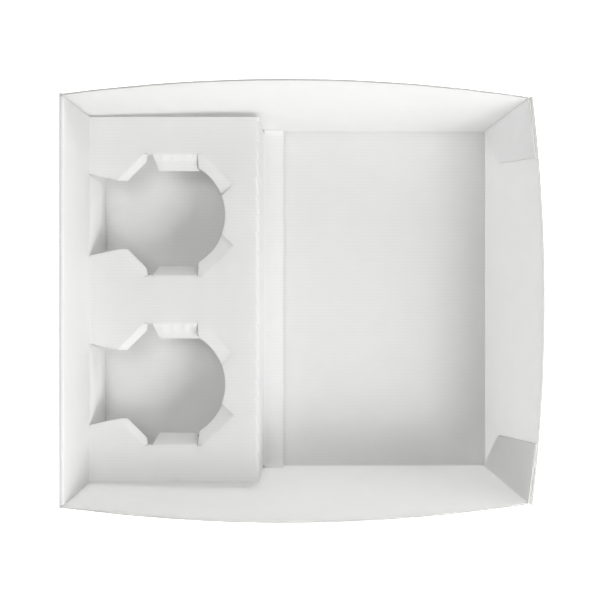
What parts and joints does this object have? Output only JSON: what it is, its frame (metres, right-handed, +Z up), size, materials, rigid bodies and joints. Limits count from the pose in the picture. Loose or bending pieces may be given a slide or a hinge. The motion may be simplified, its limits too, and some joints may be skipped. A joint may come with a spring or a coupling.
{
  "type": "takeaway meal tray",
  "caption": "Folded and glued corrugated board tray with flared walls, an open food compartment and a raised panel with round cup holes.",
  "frame": {"origin": "middle of the tray's outline, on the surface that it stands on", "axes": "+X from the cup panel to the right wall, along the longer side; +Y from front to back; +Z up"},
  "size_m": [0.334, 0.3036, 0.0902],
  "materials": {
    "board": "matt white liner"
  },
  "bodies": {
    "root": {"tray": "board"}
  },
  "joints": []
}
